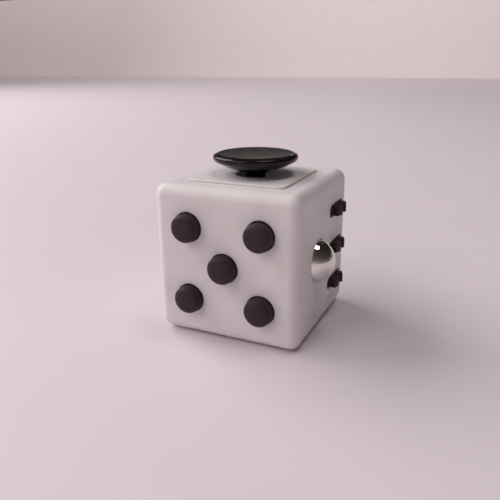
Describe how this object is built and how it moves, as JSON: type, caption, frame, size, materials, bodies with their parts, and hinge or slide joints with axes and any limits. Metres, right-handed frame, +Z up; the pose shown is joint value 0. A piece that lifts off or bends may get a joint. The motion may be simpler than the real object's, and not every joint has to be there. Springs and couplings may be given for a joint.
{
  "type": "fidget cube",
  "caption": "Pocket fidget cube with something different to press, roll, flip, spin, glide or rub on each face.",
  "frame": {"origin": "centre of the footprint, at the height of the table the cube stands on", "axes": "+Z up through the gliding disc, -Y out of the push-button face, +X out of the ball face"},
  "size_m": [0.0396, 0.0371, 0.0384],
  "materials": {
    "white_plastic": "satin off-white moulded plastic",
    "soft_black_plastic": "soft matte brown-black moulded plastic",
    "gloss_black_plastic": "polished black moulded plastic",
    "chrome": "polished ball",
    "steel": "plain hidden hardware",
    "grey_inner_plastic": "plain hidden moulding",
    "silicone": "translucent grey, soft"
  },
  "bodies": {
    "case": {"shell_body": "white_plastic", "worry_cover": "white_plastic", "glide_plate": "white_plastic", "click_bracket": "grey_inner_plastic", "click_screw_1": "steel", "click_screw_2": "steel", "click_screw_3": "steel", "click_screw_4": "steel", "snap_dome_top_left": "steel", "snap_dome_top_right": "steel", "snap_dome_bottom_right": "steel", "silicone_spring_centre": "silicone", "silicone_spring_bottom_left": "silicone", "roll_bracket": "grey_inner_plastic", "roll_screw_1": "steel", "roll_screw_2": "steel", "cog_axle": "steel", "ball_snap_dome": "steel", "flip_bezel": "soft_black_plastic", "flip_pin": "steel", "flip_leaf_spring": "steel", "dial_spring_washer": "steel", "glide_frame": "grey_inner_plastic", "centring_diaphragm": "silicone", "glide_frame_screw_1": "steel", "glide_frame_screw_2": "steel", "glide_frame_screw_3": "steel", "glide_frame_screw_4": "steel"},
    "button_top_left": {"click_button_top_left": "soft_black_plastic"},
    "button_top_right": {"click_button_top_right": "soft_black_plastic"},
    "button_centre": {"click_button_centre": "soft_black_plastic"},
    "button_bottom_left": {"click_button_bottom_left": "soft_black_plastic"},
    "button_bottom_right": {"click_button_bottom_right": "soft_black_plastic"},
    "cup": {"ball_cup": "soft_black_plastic"},
    "ball": {"roll_ball": "chrome"},
    "cog_top": {"roll_cog_top": "soft_black_plastic"},
    "cog_middle": {"roll_cog_middle": "soft_black_plastic"},
    "cog_bottom": {"roll_cog_bottom": "soft_black_plastic"},
    "rocker": {"flip_rocker": "soft_black_plastic"},
    "dial": {"spin_dial": "soft_black_plastic", "dial_washer": "steel", "dial_screw": "steel"},
    "carriage": {"glide_carriage": "grey_inner_plastic"},
    "disc": {"glide_cap": "gloss_black_plastic", "glide_slider": "soft_black_plastic", "glide_stem_screw": "steel"}
  },
  "joints": [
    {"name": "press_top_left", "type": "slide", "parent": "case", "child": "button_top_left", "axis": [0, 1, 0], "range_m": [0, 0.0008], "stiffness_N_per_m": 1500, "deforming": ["snap_dome_top_left"]},
    {"name": "press_top_right", "type": "slide", "parent": "case", "child": "button_top_right", "axis": [0, 1, 0], "range_m": [0, 0.0008], "stiffness_N_per_m": 1500, "deforming": ["snap_dome_top_right"]},
    {"name": "press_centre", "type": "slide", "parent": "case", "child": "button_centre", "axis": [0, 1, 0], "range_m": [0, 0.0008], "stiffness_N_per_m": 900, "deforming": ["silicone_spring_centre"]},
    {"name": "press_bottom_left", "type": "slide", "parent": "case", "child": "button_bottom_left", "axis": [0, 1, 0], "range_m": [0, 0.0008], "stiffness_N_per_m": 900, "deforming": ["silicone_spring_bottom_left"]},
    {"name": "press_bottom_right", "type": "slide", "parent": "case", "child": "button_bottom_right", "axis": [0, 1, 0], "range_m": [0, 0.0008], "stiffness_N_per_m": 1500, "deforming": ["snap_dome_bottom_right"]},
    {"name": "ball_press", "type": "slide", "parent": "case", "child": "cup", "axis": [-1, 0, 0], "range_m": [0, 0.0008], "stiffness_N_per_m": 1500, "deforming": ["ball_snap_dome"]},
    {"name": "ball_roll", "type": "hinge", "parent": "cup", "child": "ball", "pos_m": [0.0153, -0.004, 0.0169], "axis": [0, 0, 1], "continuous": true},
    {"name": "cog_spin_top", "type": "hinge", "parent": "case", "child": "cog_top", "pos_m": [0.01265, 0.0083, 0.0256], "axis": [0, 0, 1], "continuous": true},
    {"name": "cog_spin_middle", "type": "hinge", "parent": "case", "child": "cog_middle", "pos_m": [0.01265, 0.0083, 0.0169], "axis": [0, 0, 1], "continuous": true},
    {"name": "cog_spin_bottom", "type": "hinge", "parent": "case", "child": "cog_bottom", "pos_m": [0.01265, 0.0083, 0.0082], "axis": [0, 0, 1], "continuous": true},
    {"name": "flip", "type": "hinge", "parent": "case", "child": "rocker", "pos_m": [-0.0145, 0, 0.0169], "axis": [0, 1, 0], "range_deg": [0, 22], "deforming": ["flip_leaf_spring"]},
    {"name": "dial_spin", "type": "hinge", "parent": "case", "child": "dial", "pos_m": [0, 0.0165, 0.0169], "axis": [0, 1, 0], "continuous": true},
    {"name": "glide_x", "type": "slide", "parent": "case", "child": "carriage", "axis": [1, 0, 0], "range_m": [-0.0015, 0.0015], "stiffness_N_per_m": 300, "deforming": ["centring_diaphragm"]},
    {"name": "glide_y", "type": "slide", "parent": "carriage", "child": "disc", "axis": [0, 1, 0], "range_m": [-0.0015, 0.0015], "stiffness_N_per_m": 300, "deforming": ["centring_diaphragm"]}
  ]
}
